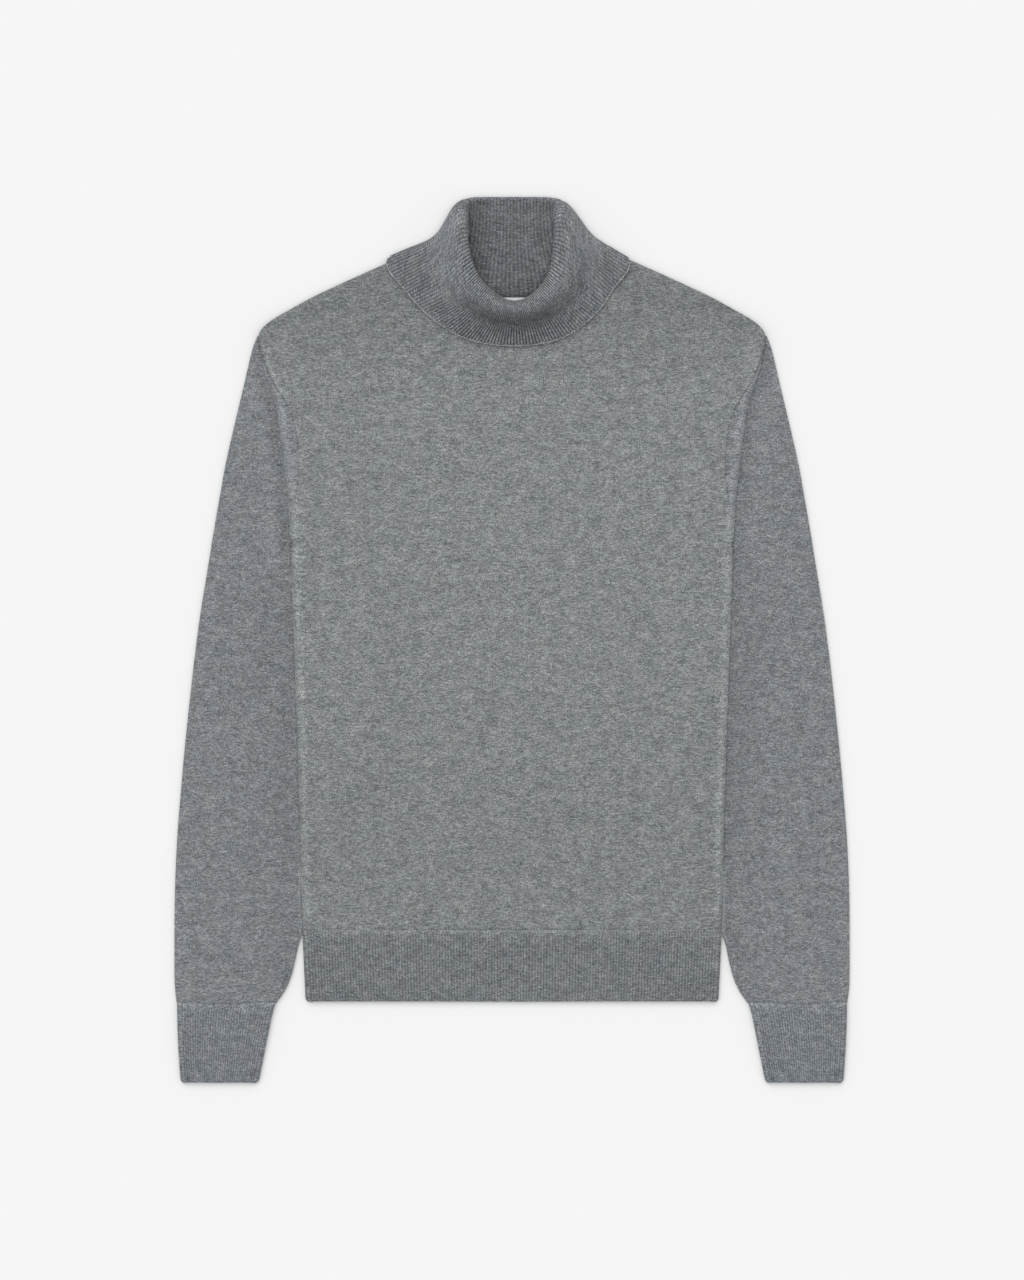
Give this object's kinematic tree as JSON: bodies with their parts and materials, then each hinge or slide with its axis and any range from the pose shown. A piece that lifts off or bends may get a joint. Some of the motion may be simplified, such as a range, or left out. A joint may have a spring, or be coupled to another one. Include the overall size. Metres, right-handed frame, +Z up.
{
  "type": "turtleneck sweater",
  "caption": "Grey fine-knit turtleneck sweater with ribbed hem and cuffs, laid flat with the sleeves tucked beside the body.",
  "frame": {"origin": "on the table, under the middle of the garment's outline as it lies flat", "axes": "+Y runs from the hem to the collar, +X to the viewer's right with the garment's front up, +Z up from the table"},
  "size_m": [0.6162, 0.8082, 0.0196],
  "materials": {
    "knit": "matt fine stockinette knit, grey melange",
    "sleeve_knit": "matt fine stockinette knit, grey melange",
    "cuff_rib": "matt fine rib knit, grey melange",
    "hem_rib": "matt rib knit, grey melange",
    "collar_rib": "matt rib knit, grey melange",
    "label": "smooth white woven tape, bare"
  },
  "bodies": {
    "root": {"front": "knit", "back": "knit", "sleeve_left": "sleeve_knit", "sleeve_right": "sleeve_knit", "cuff_left": "cuff_rib", "cuff_right": "cuff_rib", "hem_rib": "hem_rib", "collar": "collar_rib", "neck_label": "label"}
  },
  "joints": []
}
